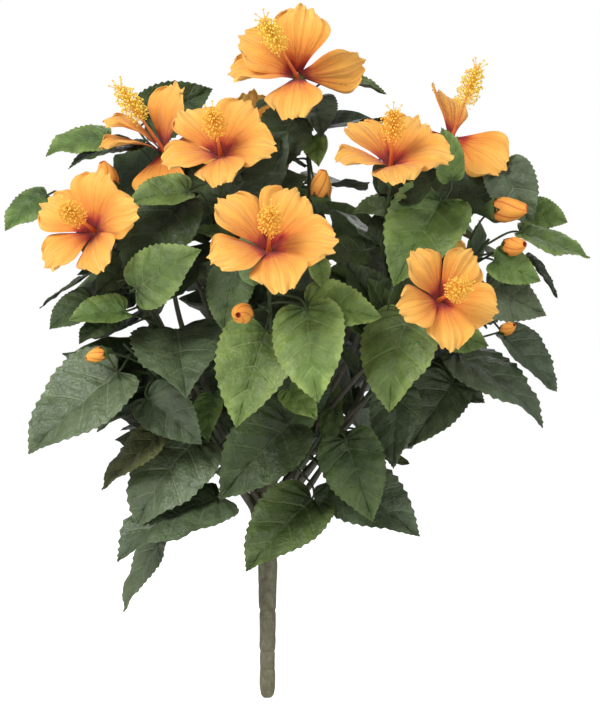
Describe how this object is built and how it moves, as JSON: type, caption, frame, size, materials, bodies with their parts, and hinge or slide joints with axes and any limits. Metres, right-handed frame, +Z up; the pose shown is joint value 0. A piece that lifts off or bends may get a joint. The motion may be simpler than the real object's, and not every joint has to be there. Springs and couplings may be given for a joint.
{
  "type": "artificial hibiscus bush",
  "caption": "Artificial hibiscus bush: a ringed plastic stem, wired boughs that fan out, and sprays of broad toothed fabric leaves with large orange blooms and buds.",
  "frame": {"origin": "centre of the flat cut under the main stem, at ground level", "axes": "+Z up along the main stem, the longest extent; the pictured front faces -Y, with +X to the viewer's right"},
  "size_m": [0.506, 0.4877, 0.6079],
  "materials": {
    "stem": "moulded olive-grey plastic with low rings, satin",
    "bough": "dark brown-green plastic over wire, satin",
    "leaf": "printed and pressed polyester leaf, green with paler veins, soft sheen",
    "petal": "dyed polyester petal, orange, darker towards the throat, matt",
    "anther": "golden flocked anthers on an orange column, matt"
  },
  "bodies": {
    "root": {"main_stem": "stem", "bough_top": "bough", "bough_upper_left": "bough", "bough_upper_middle": "bough", "bough_left": "bough", "bough_left_middle": "bough", "bough_left_low": "bough", "bough_low_left": "bough", "bough_low_middle": "bough", "bough_low_right": "bough", "bough_centre": "bough", "bough_right_centre": "bough", "bough_upper_right": "bough", "bough_right_low": "bough", "bough_far_right": "bough", "bough_right": "bough", "bough_back_right": "bough", "bough_back_upper_right": "bough", "bough_back_top": "bough", "bough_back_upper_left": "bough", "bough_back_left": "bough", "bough_back_middle": "bough", "bough_back_low_right": "bough", "bough_back_low_middle": "bough", "bough_back_low_left": "bough", "spray_top": "leaf", "spray_upper_left": "leaf", "spray_upper_middle": "leaf", "spray_left": "leaf", "spray_left_middle": "leaf", "spray_left_low": "leaf", "spray_low_left": "leaf", "spray_low_middle": "leaf", "spray_low_right": "leaf", "spray_centre": "leaf", "spray_right_centre": "leaf", "spray_upper_right": "leaf", "spray_right_low": "leaf", "spray_far_right": "leaf", "spray_right": "leaf", "spray_back_right": "leaf", "spray_back_upper_right": "leaf", "spray_back_top": "leaf", "spray_back_upper_left": "leaf", "spray_back_left": "leaf", "spray_back_middle": "leaf", "spray_back_low_right": "leaf", "spray_back_low_middle": "leaf", "spray_back_low_left": "leaf"}
  },
  "joints": []
}
